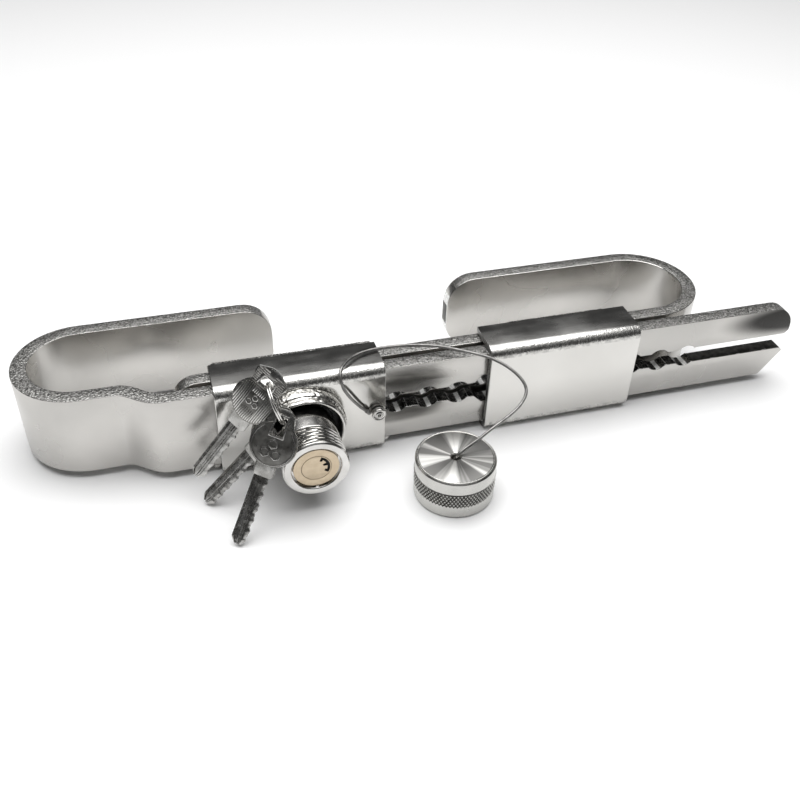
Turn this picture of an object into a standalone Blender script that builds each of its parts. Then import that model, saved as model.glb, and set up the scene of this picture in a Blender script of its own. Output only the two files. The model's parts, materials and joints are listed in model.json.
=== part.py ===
"""Adjustable trailer door lock: two hook arms on a lobed bar pair, with a push-in plunger lock.

+X runs along the bars to the right, +Y away from the keyed face, +Z up.
The origin is on the underside of the lock housing, below the lock axis.
The lock is modelled unlocked: plunger out, arms closed up, dust cap off and lying on the floor.
"""
import math

import bmesh
import bpy
from mathutils import Matrix, Vector

MM = 0.001                       # all lengths below are in millimetres
GAP = 0.3                        # clearance between touching pieces
ROUND_STEPS = 36                 # sides of a large round piece
SMALL_STEPS = 18                 # sides of a small one

# Bars: flat steel standing on edge, one behind the other
BAR_T = 9.0
BAR_W = 50.0
BAR_SPACE = 3.2                  # free space between the two bars
BAR_Z0 = 4.7                     # lower edge of both bars
BAR_Z1 = BAR_Z0 + BAR_W
AXIS_Z = BAR_Z0 + BAR_W / 2      # lock axis and slot centre
LAYER = (BAR_T + BAR_SPACE) / 2  # centre plane of the back bar; the front bar is at -LAYER
BACK_FACE = LAYER + BAR_T / 2
FRONT_FACE = -BACK_FACE

# Lobed slot
PITCH = 18.8
LOBE_R = 7.4
NECK_HALF = 4.8
STRAIGHT_HALF = 5.35
WINDOW_X = 114.8
WINDOW_HALF = (10.5, 9.5)
MOUTH_FLARE = 2.6
ARC_STEPS = 8

# Left hook (front bar) and right hook (back bar)
LEFT_TIP_X = 316.5
JOGGLE = (-74.0, -97.0)          # the leg steps back one layer between these
LEFT_LOOP_X = -115.3
LEFT_LOOP_R = 27.5               # inner radius of the loop
LEFT_END_X = -2.0
RIGHT_TIP_X = -67.5
RIGHT_LOOP_X = 230.8
RIGHT_LOOP_R = 29.0
RIGHT_END_X = 113.2
FREE_CORNER_R = 18.0
TIP_ROUND_R = 14.0
TIP_CHAMFER = (13.0, 17.5)

# Channels bent from plate, wrapped round both bars
WALL = 4.0
CHANNEL_L = 95.0
HOUSING_X0 = -46.5
GUIDE_X0 = 111.2
CHANNEL_Z1 = BAR_Z1 + 0.7 + WALL
CHANNEL_Y0 = FRONT_FACE - 1.0 - WALL
BEND_R = 6.5
PLATE_Y0 = BACK_FACE + 0.7
PLATE_Y1 = PLATE_Y0 + WALL

# Plunger lock, measured along Y
STROKE = 6.5
FLANGE_Y = -55.3
FLANGE_R = 18.2
FLANGE_T = 2.0
THREAD_R = 17.9
THREAD_ROOT = 16.7
THREAD_PITCH = 3.1
THREAD_Y = (-53.3, -40.2)
NECK_R = 17.4
NECK_END = -17.6
RECESS_R = 13.6
FACE_R = 12.5
FACE_SINK = 1.2
FACE_T = 3.0
PLUG_R = 8.1
PLUG_END = -22.8
DISC_COUNT = 8
DISC_STEP = 3.1
DISC_T = 2.2
DISC_RADII = (3.0, 6.5)
PIN_R = 6.8
PIN_BORE = 5.0
PIN_TIP = 1.2
ROD_R = 4.4
ROD_TIP = -3.5
LATCH_Y = -20.1
LATCH_R = 0.9
COLLAR_R = 24.6
COLLAR_BORE = 20.9
COLLAR_RIM = 22.6                # radius of its front edge, from which it widens to the channel
COLLAR_Y = -26.5
BUSH_Y = (-18.6, -11.9)
BUSH_BORE = 17.7

# Dust cap, standing open side down
CAP_AT = (76.8, -58.9)
CAP_R = 22.9
CAP_H = 25.0
CAP_BORE = 18.7
CAP_ROOF = 5.0                   # thickness of the closed end
KNURL = (7.6, 16.7)              # band of the cap's side that is knurled
CAP_HOLE = 2.5                   # hole that the cable comes out of
CAP_SINK = 0.8                   # countersink round that hole
CABLE_D = 1.8

# Lanyard rivet and the cable's route, centre line from the rivet's eye to the cap
RIVET_AT = (43.9, 29.4)
CABLE_ROUTE = [
    (36.4, -18.0, 33.1), (33.4, -18.8, 36.5), (27.4, -20.2, 45.0), (23.7, -20.9, 51.8),
    (22.2, -20.7, 55.9), (21.6, -19.3, 59.6), (22.3, -16.3, 61.9), (24.6, -12.6, 62.6),
    (28.0, -8.4, 62.4), (32.4, -4.4, 61.9), (38.6, -1.0, 61.4), (47.3, 1.1, 60.9),
    (59.2, 1.6, 60.4), (71.6, 0.4, 59.8), (83.3, -3.3, 59.4), (92.5, -8.8, 59.3),
    (100.2, -14.6, 59.5), (106.4, -18.6, 58.9), (111.1, -21.6, 57.5), (115.1, -24.8, 56.0),
    (118.5, -28.2, 54.2), (121.4, -31.6, 52.0), (123.3, -35.0, 49.8), (123.9, -38.2, 47.3),
    (122.6, -41.2, 45.0), (119.7, -44.0, 43.0), (115.7, -46.6, 41.2), (110.9, -48.9, 39.5),
    (105.8, -50.9, 37.9), (100.5, -52.7, 36.1), (95.7, -54.3, 34.3), (91.3, -55.6, 32.2),
    (86.6, -56.5, 30.0), (82.2, -57.5, 28.1), (79.0, -58.4, 26.3), (77.4, -58.8, 23.8),
    (76.8, -58.9, 20.6)]

# Keys on their split ring
RING_AT = (-16.9, -38.8, 65.4)
RING_DOWN = (0.207, -0.620, -0.757)
RING_R = 10.8
RING_WIRE = 1.2
KEY_HOLE_TO_TIP = 70.0
KEY_HEAD_X = -12.5
KEY_T = 2.4
KEY_RAISE = 0.9                  # how far the head stands proud of each side of the blade
KEYS = {                          # angle round the ring, tip, facing, head radius, bow
    "key_a": (172.0, (-66.0, -31.0, 14.2), (-0.33, -0.75, 0.57), 12.6, "faceted"),
    "key_b": (-24.0, (-59.0, -34.9, 1.6), (-0.60, -0.60, 0.53), 11.0, "round"),
    "key_c": (24.0, (-47.0, -70.6, 1.2), (-0.33, -0.83, 0.45), 12.6, "round")}
BOWS = {                          # outline of the bow's upper half, then its hole's corners
    "faceted": ([(8.6, 0.0), (8.2, 3.2), (4.4, 9.8), (-3.3, 8.4)], ((-2.4, 4.4), (2.6, 3.6))),
    "round": ([(6.6, 0.0), (6.3, 3.2), (4.2, 5.8), (-2.2, 7.6)], ((-7.8, 3.4), (2.8, 2.8)))}

COLOURS = {
    "plated_bar": ((0.60, 0.58, 0.55, 1.0), 0.34, 1.0),
    "plated_plate": ((0.66, 0.65, 0.62, 1.0), 0.16, 1.0),
    "weld": ((0.52, 0.51, 0.48, 1.0), 0.35, 1.0),
    "bright_steel": ((0.72, 0.71, 0.69, 1.0), 0.20, 1.0),
    "brass": ((0.63, 0.50, 0.31, 1.0), 0.35, 1.0),
    "dark_steel": ((0.06, 0.06, 0.06, 1.0), 0.45, 0.8),
    "rubber": ((0.02, 0.02, 0.02, 1.0), 0.8, 0.0),
    "cable": ((0.45, 0.44, 0.42, 1.0), 0.35, 1.0)}


# ---------------------------------------------------------------- scene and helpers

def clear_scene():
    for obj in list(bpy.data.objects):
        bpy.data.objects.remove(obj, do_unlink=True)


def new_collection(name):
    group = bpy.data.collections.new(name)
    bpy.context.scene.collection.children.link(group)
    return group


def make_material(name):
    colour, roughness, metallic = COLOURS[name]
    mat = bpy.data.materials.new(name)
    mat.use_nodes = True
    mat.diffuse_color = colour
    shader = mat.node_tree.nodes["Principled BSDF"]
    shader.inputs["Base Color"].default_value = colour
    shader.inputs["Roughness"].default_value = roughness
    shader.inputs["Metallic"].default_value = metallic
    return mat


clear_scene()
PARTS = new_collection("trailer_door_lock")
CUTTERS = new_collection("cutters")
MATERIALS = {name: make_material(name) for name in COLOURS}
STAND_UP = Matrix.Rotation(math.radians(90), 4, "X")             # XY outline into the XZ plane
LOOK_ALONG_X = Matrix(((0, 0, 1, 0), (1, 0, 0, 0), (0, 1, 0, 0), (0, 0, 0, 1)))


def vec(x, y, z):
    return Vector((x, y, z)) * MM


def joint_empty(name, place, parent=None):
    empty = bpy.data.objects.new(name, None)
    empty.location = place
    PARTS.objects.link(empty)
    bpy.context.view_layer.update()
    attach(empty, parent)
    return empty


def attach(obj, parent):
    if parent is None:
        return
    bpy.context.view_layer.update()
    place = obj.matrix_world.copy()
    obj.parent = parent
    obj.matrix_world = place


def finish(obj, slot, parent=None, smooth=None):
    """Give a piece its material and its parent; smooth is the sharp-edge angle in degrees."""
    obj.data.materials.clear()
    obj.data.materials.append(MATERIALS[slot])
    if smooth is not None:
        obj.data.shade_smooth()
        obj.data.set_sharp_from_angle(angle=math.radians(smooth))
    attach(obj, parent)
    return obj


def as_cutter(obj):
    for group in list(obj.users_collection):
        group.objects.unlink(obj)
    CUTTERS.objects.link(obj)
    obj.hide_render = True
    obj.display_type = "WIRE"
    return obj


def boolean(obj, other, operation="DIFFERENCE"):
    mod = obj.modifiers.new(other.name, "BOOLEAN")
    mod.operation = operation
    mod.object = as_cutter(other)
    mod.solver = "EXACT"


def curve_to_mesh(obj, name):
    """Replace a curve object by its welded mesh."""
    bpy.context.view_layer.update()
    graph = bpy.context.evaluated_depsgraph_get()
    mesh = bpy.data.meshes.new_from_object(obj.evaluated_get(graph))
    work = bmesh.new()
    work.from_mesh(mesh)
    bmesh.ops.remove_doubles(work, verts=work.verts, dist=0.00001)
    bmesh.ops.recalc_face_normals(work, faces=work.faces)
    work.to_mesh(mesh)
    work.free()
    solid = bpy.data.objects.new(name, mesh)
    solid.matrix_world = obj.matrix_world
    bpy.data.objects.remove(obj, do_unlink=True)
    solid.name = name
    PARTS.objects.link(solid)
    return solid


def plate(name, outline, low, high, turn=Matrix.Identity(4)):
    """A flat outline, in millimetres, made into a slab from low to high along its normal."""
    curve = bpy.data.curves.new(name, "CURVE")
    curve.dimensions = "2D"
    curve.fill_mode = "BOTH"
    curve.extrude = (high - low) / 2 * MM
    spline = curve.splines.new("POLY")
    spline.points.add(len(outline) - 1)
    for point, (u, v) in zip(spline.points, outline):
        point.co = (u * MM, v * MM, 0.0, 1.0)
    spline.use_cyclic_u = True
    flat = bpy.data.objects.new(name + "_outline", curve)
    PARTS.objects.link(flat)
    flat.matrix_world = turn @ Matrix.Translation((0, 0, (high + low) / 2 * MM))
    return curve_to_mesh(flat, name)


def plate_xz(name, outline, y_low, y_high):
    return plate(name, outline, -y_high, -y_low, STAND_UP)


def plate_yz(name, outline, x_low, x_high):
    return plate(name, outline, x_low, x_high, LOOK_ALONG_X)


def turned(name, profile, place, axis="Z", steps=ROUND_STEPS, closed=False):
    """Turn a profile of (radius, height) points, run down the outer side, about an axis."""
    mesh = bpy.data.meshes.new(name)
    points = [(radius * MM, 0.0, height * MM) for radius, height in profile]
    edges = [(i, i + 1) for i in range(len(points) - 1)]
    if closed:
        edges.append((len(points) - 1, 0))
    mesh.from_pydata(points, edges, [])
    obj = bpy.data.objects.new(name, mesh)
    PARTS.objects.link(obj)
    obj.location = vec(*place)
    if axis == "Y":               # heights run towards -Y
        obj.rotation_euler = (math.radians(90), 0, 0)
    screw = obj.modifiers.new("turn", "SCREW")
    screw.steps = steps
    screw.render_steps = steps
    screw.use_merge_vertices = True
    screw.merge_threshold = 0.00001
    screw.use_smooth_shade = True
    return obj


def ring(name, inner, outer, low, high, place, axis="Z", steps=ROUND_STEPS):
    profile = [(outer, high), (outer, low), (inner, low), (inner, high)]
    return turned(name, profile, place, axis, steps, closed=True)


def disc(name, radius, low, high, place, axis="Z", steps=ROUND_STEPS):
    profile = [(0, high), (radius, high), (radius, low), (0, low)]
    return turned(name, profile, place, axis, steps)


def arc(cx, cy, radius, start, stop, steps):
    """Points on an arc, angles in degrees."""
    angles = [math.radians(start + (stop - start) * i / steps) for i in range(steps + 1)]
    return [(cx + radius * math.cos(a), cy + radius * math.sin(a)) for a in angles]


def tube(name, points, radius, sides=2, cyclic=False):
    """A round wire along points given in metres."""
    curve = bpy.data.curves.new(name, "CURVE")
    curve.dimensions = "3D"
    curve.bevel_depth = radius * MM
    curve.bevel_resolution = sides
    curve.use_fill_caps = not cyclic
    spline = curve.splines.new("POLY")
    spline.points.add(len(points) - 1)
    for point, place in zip(spline.points, points):
        point.co = (*place, 1.0)
    spline.use_cyclic_u = cyclic
    obj = bpy.data.objects.new(name + "_route", curve)
    PARTS.objects.link(obj)
    return curve_to_mesh(obj, name)


def smooth_route(points, step):
    """Evenly spaced points on a Catmull-Rom curve through the given points, in millimetres."""
    ends = [points[0]] + list(points) + [points[-1]]
    dense = []
    for i in range(len(points) - 1):
        a, b, c, d = (Vector(p) for p in ends[i:i + 4])
        for j in range(12):
            t = j / 12
            dense.append(0.5 * (2 * b + (c - a) * t + (2 * a - 5 * b + 4 * c - d) * t * t
                                + (3 * b - a - 3 * c + d) * t ** 3))
    dense.append(Vector(points[-1]))
    route = [dense[0]]
    travelled = 0.0
    for previous, current in zip(dense, dense[1:]):
        travelled += (current - previous).length
        if travelled >= step:
            route.append(current)
            travelled = 0.0
    route[-1] = dense[-1]
    return [p * MM for p in route]


# ---------------------------------------------------------------- hook bars

def ribbon(centre, thickness):
    """Outline of a strip of even thickness along a plan-view centre line."""
    left, right = [], []
    for i, (x, y) in enumerate(centre):
        x0, y0 = centre[max(i - 1, 0)]
        x1, y1 = centre[min(i + 1, len(centre) - 1)]
        length = math.hypot(x1 - x0, y1 - y0)
        nx, ny = (y0 - y1) / length * thickness / 2, (x1 - x0) / length * thickness / 2
        left.append((x + nx, y + ny))
        right.append((x - nx, y - ny))
    return left + right[::-1]


def lobe_edge(x, start=None):
    """Upper edge of one lobe, left to right; start is the first angle of a closed end."""
    rise = math.degrees(math.asin(NECK_HALF / LOBE_R))
    first = 180 - rise if start is None else start
    return [(x + LOBE_R * math.cos(math.radians(first + (rise - first) * i / ARC_STEPS)),
             LOBE_R * math.sin(math.radians(first + (rise - first) * i / ARC_STEPS)))
            for i in range(ARC_STEPS + 1)]


def mirrored_slot(upper):
    """Close an upper slot edge with its mirror image below the slot's centre line."""
    lower = [(x, -z) for x, z in reversed(upper) if z > 0.001]
    return [(x, AXIS_Z + z) for x, z in upper + lower]


def front_slot():
    edge = lobe_edge(0.0, start=180.0)
    for k in range(1, 14):
        x = k * PITCH
        if abs(x - WINDOW_X) < PITCH / 2:
            half_w, half_h = WINDOW_HALF
            edge += [(WINDOW_X - half_w, NECK_HALF),
                     (WINDOW_X - half_w + half_h - NECK_HALF, half_h),
                     (WINDOW_X + half_w - half_h + NECK_HALF, half_h),
                     (WINDOW_X + half_w, NECK_HALF)]
        else:
            edge += lobe_edge(x)
    edge += [(edge[-1][0] + 0.5, STRAIGHT_HALF), (LEFT_TIP_X - MOUTH_FLARE, STRAIGHT_HALF),
             (LEFT_TIP_X + 1, STRAIGHT_HALF + MOUTH_FLARE + 1)]
    return mirrored_slot(edge)


def back_slot():
    edge = [(RIGHT_TIP_X - 1, NECK_HALF + 2.5), (RIGHT_TIP_X + 1.5, NECK_HALF)]
    for k in range(-3, 7):
        edge += lobe_edge(k * PITCH)
    last = [(2 * 7 * PITCH - x, z) for x, z in reversed(lobe_edge(7 * PITCH, start=180.0))]
    return mirrored_slot(edge + last)


def round_corner(name, x, z, sx, sz, radius, y_low, y_high):
    """Cutter for a rounded corner at (x, z); sx and sz point out of the bar."""
    start = {(1, 1): 90, (-1, 1): 90, (1, -1): -90, (-1, -1): -90}[(sx, sz)]
    stop = 0 if sx > 0 else 180 * sz
    inner = arc(x - sx * radius, z - sz * radius, radius, start, stop, ARC_STEPS)
    outline = [(x - sx * radius, z + sz)] + inner + [(x + sx, z - sz * radius), (x + sx, z + sz)]
    return plate_xz(name, outline, y_low, y_high)


def chamfer_corner(name, x, z, sx, sz, y_low, y_high):
    dx, dz = TIP_CHAMFER
    outline = [(x - sx * dx, z + sz), (x - sx * dx, z), (x, z - sz * dz),
               (x + sx, z - sz * dz), (x + sx, z + sz)]
    return plate_xz(name, outline, y_low, y_high)


def hook_bar(name, centre, tip_x, tip_side, end_x, layer, far, slot, parent):
    bar = plate(name, ribbon(centre, BAR_T), BAR_Z0, BAR_Z1)
    near = (layer - BAR_T, layer + BAR_T)
    away = (far - BAR_T, far + BAR_T)
    boolean(bar, plate_xz(name + "_slot_cutter", slot, *near))
    boolean(bar, round_corner(name + "_tip_top_cutter", tip_x, BAR_Z1, tip_side, 1, TIP_ROUND_R, *near))
    boolean(bar, chamfer_corner(name + "_tip_low_cutter", tip_x, BAR_Z0, tip_side, -1, *near))
    for z, side in ((BAR_Z1, 1), (BAR_Z0, -1)):
        boolean(bar, round_corner(f"{name}_end_cutter_{side}", end_x, z, tip_side, side,
                                  FREE_CORNER_R, *away))
    return finish(bar, "plated_bar", parent, smooth=20)


def left_centre():
    step_out, step_in = JOGGLE
    points = [(LEFT_TIP_X, -LAYER)]
    for i in range(13):
        t = i / 12
        points.append((step_out + (step_in - step_out) * t, -LAYER * math.cos(math.pi * t)))
    mid = LEFT_LOOP_R + BAR_T / 2
    points += arc(LEFT_LOOP_X, LAYER + mid, mid, -90, -270, 28)
    return points + [(LEFT_END_X, LAYER + 2 * mid)]


def right_centre():
    mid = RIGHT_LOOP_R + BAR_T / 2
    loop = arc(RIGHT_LOOP_X, LAYER + mid, mid, -90, 90, 28)
    return [(RIGHT_TIP_X, LAYER)] + loop + [(RIGHT_END_X, LAYER + 2 * mid)]


# ---------------------------------------------------------------- channels, plate and welds

def channel_outline(leg_end):
    low, high, front = 0.0, CHANNEL_Z1, CHANNEL_Y0
    inner = BEND_R - WALL
    outer = (arc(front + BEND_R, high - BEND_R, BEND_R, 90, 180, 6)
             + arc(front + BEND_R, low + BEND_R, BEND_R, 180, 270, 6))
    inside = (arc(front + BEND_R, low + BEND_R, inner, 270, 180, 4)
              + arc(front + BEND_R, high - BEND_R, inner, 180, 90, 4))
    lower_leg = [(leg_end, low), (leg_end, low + WALL)]
    return [(leg_end, high)] + outer + lower_leg + inside + [(leg_end, high - WALL)]


def weld_bead(name, y, z, half_y, half_z, x_low, x_high, parent, side=1):
    """A bead with a rounded back, lying along X; side 1 bulges up and back, -1 down and back."""
    outline = [(y, z - side * half_z), (y, z + side * half_z)]
    for i in range(1, 6):
        a = math.pi / 2 - math.pi * i / 6
        outline.append((y + half_y * math.cos(a), z + side * half_z * math.sin(a)))
    return finish(plate_yz(name, outline, x_low, x_high), "weld", parent, smooth=60)


def build_frame_pieces(root, arm):
    housing = plate_yz("housing_channel", channel_outline(BACK_FACE), HOUSING_X0, HOUSING_X0 + CHANNEL_L)
    boolean(housing, disc("housing_hole_cutter", COLLAR_BORE, -FRONT_FACE, 30, (0, 0, AXIS_Z), "Y"))
    finish(housing, "plated_plate", root, smooth=30)
    back = plate_xz("housing_back_plate",
                    [(HOUSING_X0, 4.2), (HOUSING_X0 + CHANNEL_L, 4.2),
                     (HOUSING_X0 + CHANNEL_L, 55.2), (HOUSING_X0, 55.2)], PLATE_Y0, PLATE_Y1)
    boolean(back, disc("plate_hole_cutter", ROD_R + GAP, -30, 0, (0, 0, AXIS_Z), "Y", SMALL_STEPS))
    finish(back, "plated_plate", root)
    end = HOUSING_X0 + CHANNEL_L
    weld_bead("housing_weld_top", BACK_FACE + GAP, 57.4, 3.2, 1.8, HOUSING_X0 + 1, end - 1, root)
    weld_bead("housing_weld_bottom", BACK_FACE + GAP, 2.0, 3.2, 1.7, HOUSING_X0 + 1, end - 1, root, -1)
    for side, x in (("left", HOUSING_X0 - 4.2), ("right", end + GAP)):
        bead = plate_xz(f"bar_weld_{side}",
                        [(x, BAR_Z0 - GAP), (x, 2.6), (x + 1.3, 1.2), (x + 2.6, 1.2),
                         (x + 3.9, 2.6), (x + 3.9, BAR_Z0 - GAP)], -LAYER - 4, -LAYER + 4)
        finish(bead, "weld", root)
    guide = plate_yz("guide_channel", channel_outline(BACK_FACE), GUIDE_X0, GUIDE_X0 + CHANNEL_L)
    finish(guide, "plated_plate", arm, smooth=30)
    end = GUIDE_X0 + CHANNEL_L
    for name, z, side in (("guide_weld_top", 56.2, 1), ("guide_weld_bottom", 3.2, -1)):
        weld_bead(name, BACK_FACE + GAP, z, 2.4, 2.9, GUIDE_X0 + 18, end - 12, arm, side)


# ---------------------------------------------------------------- plunger lock

def thread_profile():
    """Ridges of the external thread, from the flange to the neck, as (radius, height)."""
    ridges = []
    top, bottom = -THREAD_Y[0], -THREAD_Y[1]
    count = int((top - bottom) / THREAD_PITCH)
    for i in range(count):
        h = top - 0.4 - i * THREAD_PITCH
        ridges += [(THREAD_ROOT, h), (THREAD_R, h - 0.8), (THREAD_R, h - 1.3), (THREAD_ROOT, h - 2.1)]
    return ridges


def build_lock(root, plunger, plug, latch):
    centre = (0, 0, AXIS_Z)
    front, back = -FLANGE_Y, -NECK_END
    recess = front - FACE_SINK - FACE_T - GAP
    plug_floor = -PLUG_END - GAP
    profile = ([(RECESS_R, front), (FLANGE_R - 0.8, front), (FLANGE_R, front - 0.8),
                (FLANGE_R, front - FLANGE_T + 0.5), (FLANGE_R - 0.5, front - FLANGE_T)]
               + thread_profile()
               + [(NECK_R, -THREAD_Y[1] - 0.3), (NECK_R, back + 0.8), (NECK_R - 0.8, back), (0, back)])
    inside = [(0, plug_floor), (PLUG_R + GAP, plug_floor), (PLUG_R + GAP, recess), (RECESS_R, recess)]
    body = turned("lock_body", inside + profile, centre, "Y")
    latch_hole = disc("latch_hole_cutter", LATCH_R + GAP, -NECK_R - 2, -3.5, (0, LATCH_Y, AXIS_Z),
                      "Z", SMALL_STEPS)
    boolean(body, latch_hole)
    finish(body, "bright_steel", plunger)
    face_front = front - FACE_SINK
    face = ring("lock_face", PLUG_R + GAP, FACE_R, face_front - FACE_T, face_front, centre, "Y")
    finish(face, "brass", plunger)

    # Key plug: a cup with a curved keyway in its face, holding the detainer discs
    shell = turned("key_plug", [(0, face_front), (PLUG_R - 0.3, face_front), (PLUG_R, face_front - 0.3),
                                (PLUG_R, -PLUG_END), (PLUG_R - 1.2, -PLUG_END),
                                (PLUG_R - 1.2, face_front - 2.5), (0, face_front - 2.5)], centre, "Y")
    outer = arc(0, 0, 6.1, -62, 62, 12)
    inner = arc(0, 0, 4.6, 62, -62, 12)
    keyway = plate_xz("keyway_cutter", [(x, AXIS_Z + z) for x, z in outer + inner],
                      FLANGE_Y - 1, FLANGE_Y + FACE_SINK + 4)
    boolean(shell, keyway)
    finish(shell, "brass", plug)
    first = face_front - 2.5 - GAP
    for i in range(DISC_COUNT):
        high = first - i * DISC_STEP
        detainer = ring(f"detainer_disc_{i + 1}", *DISC_RADII, high - DISC_T, high, centre, "Y", SMALL_STEPS)
        finish(detainer, "brass", plug)
    low = first - DISC_COUNT * DISC_STEP
    finish(ring("plug_clip", 3.4, 6.6, low - 0.8, low, centre, "Y", SMALL_STEPS), "bright_steel", plug)

    # Bolt pin on the back of the body, sprung against the fixed guide rod
    pin = turned("bolt_pin", [(0, back - GAP), (PIN_R, back - GAP), (PIN_R, -PIN_TIP + 0.8),
                              (PIN_R - 0.8, -PIN_TIP), (PIN_BORE, -PIN_TIP), (PIN_BORE, back - 2.3),
                              (0, back - 2.3)], centre, "Y")
    finish(pin, "bright_steel", plunger)
    rod = turned("guide_rod", [(0, -ROD_TIP), (ROD_R - 0.6, -ROD_TIP), (ROD_R, -ROD_TIP - 0.6),
                               (ROD_R, -PLATE_Y1 - GAP), (7.5, -PLATE_Y1 - GAP), (7.5, -PLATE_Y1 - 2.5),
                               (6.5, -PLATE_Y1 - 3.3), (0, -PLATE_Y1 - 3.3)], centre, "Y", SMALL_STEPS)
    finish(rod, "bright_steel", root)
    spring_low, spring_high = NECK_END + 2.3 + 0.8, ROD_TIP - 0.8
    turns, per_turn = 5, 10
    coil = []
    for i in range(turns * per_turn + 1):
        a = 2 * math.pi * i / per_turn
        y = spring_low + (spring_high - spring_low) * i / (turns * per_turn)
        coil.append(vec(4.1 * math.cos(a), y, AXIS_Z + 4.1 * math.sin(a)))
    finish(tube("bolt_spring", coil, 0.45, 1), "dark_steel", plunger)

    # Latch: a small cross pin that the key plug drives out into the bush's window
    finish(disc("latch_pin", LATCH_R, -NECK_R + 0.2, -4.0, (0, LATCH_Y, AXIS_Z), "Z", SMALL_STEPS),
           "bright_steel", latch)

    # Collar on the housing, with the hardened bush that the neck slides in
    wall = -CHANNEL_Y0 + GAP
    collar_front = -COLLAR_Y
    collar = turned("lock_collar", [(COLLAR_BORE + 0.6, collar_front), (COLLAR_RIM, collar_front),
                                    (COLLAR_RIM + 0.9, collar_front - 1.0), (COLLAR_R, collar_front - 6.0),
                                    (COLLAR_R, wall), (COLLAR_BORE, wall), (COLLAR_BORE, collar_front - 0.8)],
                    centre, "Y", closed=True)
    finish(collar, "plated_plate", root)
    bush = ring("collar_bush", BUSH_BORE, COLLAR_BORE - GAP, -BUSH_Y[1], -BUSH_Y[0], centre, "Y")
    window = disc("bush_window_cutter", 1.3, -COLLAR_BORE - 1, -BUSH_BORE + 2,
                  (0, LATCH_Y + STROKE, AXIS_Z), "Z", SMALL_STEPS)
    boolean(bush, window)
    finish(bush, "dark_steel", root)


# ---------------------------------------------------------------- dust cap and lanyard

def build_cap(cap, root):
    place = (*CAP_AT, 0)
    roof = CAP_H - CAP_ROOF
    low_edge, high_edge = KNURL
    plain = CAP_R - GAP
    profile = [(CAP_HOLE, CAP_H - CAP_SINK), (CAP_HOLE + CAP_SINK, CAP_H), (CAP_R - 1.5, CAP_H),
               (plain, CAP_H - 1.2), (plain, high_edge + 0.5), (CAP_R, high_edge), (CAP_R, low_edge),
               (plain, low_edge - 0.5), (plain, 0.6), (CAP_R - 0.9, 0), (CAP_BORE, 0), (CAP_BORE, roof),
               (CAP_HOLE, roof)]
    finish(turned("dust_cap", profile, place, steps=ROUND_STEPS, closed=True), "plated_plate", cap)
    finish(ring("cap_seal", 15.4, CAP_BORE - GAP, 17.4, roof - GAP, place), "rubber", cap)
    stop_z = CABLE_ROUTE[-1][2]
    finish(disc("cable_stop", 3.8, stop_z - 3.6, stop_z - GAP - 0.7, place, steps=SMALL_STEPS), "cable", root)


def build_lanyard(root):
    x, z = RIVET_AT
    face = -CHANNEL_Y0 + GAP
    rivet = turned("lanyard_rivet", [(0, face + 3.8), (1.3, face + 4.1), (3.5, face + 3.9), (4.2, face + 3.2),
                                     (4.2, face + 2.1), (2.0, face + 2.1), (2.0, face), (0, face)],
                   (x, 0, z), "Y", SMALL_STEPS)
    finish(rivet, "bright_steel", root)
    eye = ring("cable_eye", 2.3, 3.9, face + 0.2, face + 1.8, (x, 0, z), "Y", SMALL_STEPS)
    finish(eye, "cable", root)
    start = Vector(CABLE_ROUTE[0])
    towards = (Vector(CABLE_ROUTE[1]) - start).normalized()
    root_at = start - towards * 3.6
    sleeve = tube("cable_ferrule", [root_at * MM, (start - towards * GAP) * MM], 1.4, 2)
    finish(sleeve, "cable", root)
    cable = tube("lanyard_cable", smooth_route(CABLE_ROUTE, 2 * CABLE_D), CABLE_D / 2, 2)
    finish(cable, "cable", root)


# ---------------------------------------------------------------- keys

def ring_frame():
    down = Vector(RING_DOWN).normalized()
    towards = Vector((-0.2325, -0.7465, 0.6235))
    towards = (towards - down * towards.dot(down)).normalized()
    return Vector(RING_AT), down, towards


def ring_point(angle):
    centre, down, towards = ring_frame()
    a = math.radians(angle)
    return centre + RING_R * (math.cos(a) * down + math.sin(a) * towards)


def key_outline(head_r, bow):
    """Key in its own plane: the ring hole's centre is the origin and the blade runs along -X."""
    half = 4.2
    shoulder = KEY_HEAD_X - math.sqrt(head_r ** 2 - 5.5 ** 2)
    lead = math.degrees(math.asin(min(0.9, bow[-1][1] / head_r)))
    upper = arc(KEY_HEAD_X, 0, head_r, lead + 3, 180 - math.degrees(math.asin(5.5 / head_r)), 14)
    blade = [(shoulder - 6.0, 5.5), (shoulder - 7.0, half), (-KEY_HOLE_TO_TIP + 3.0, half),
             (-KEY_HOLE_TO_TIP, half - 2.4)]
    side = bow + upper + blade
    return side + [(x, -y) for x, y in reversed(side) if y > 0.001]


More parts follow.
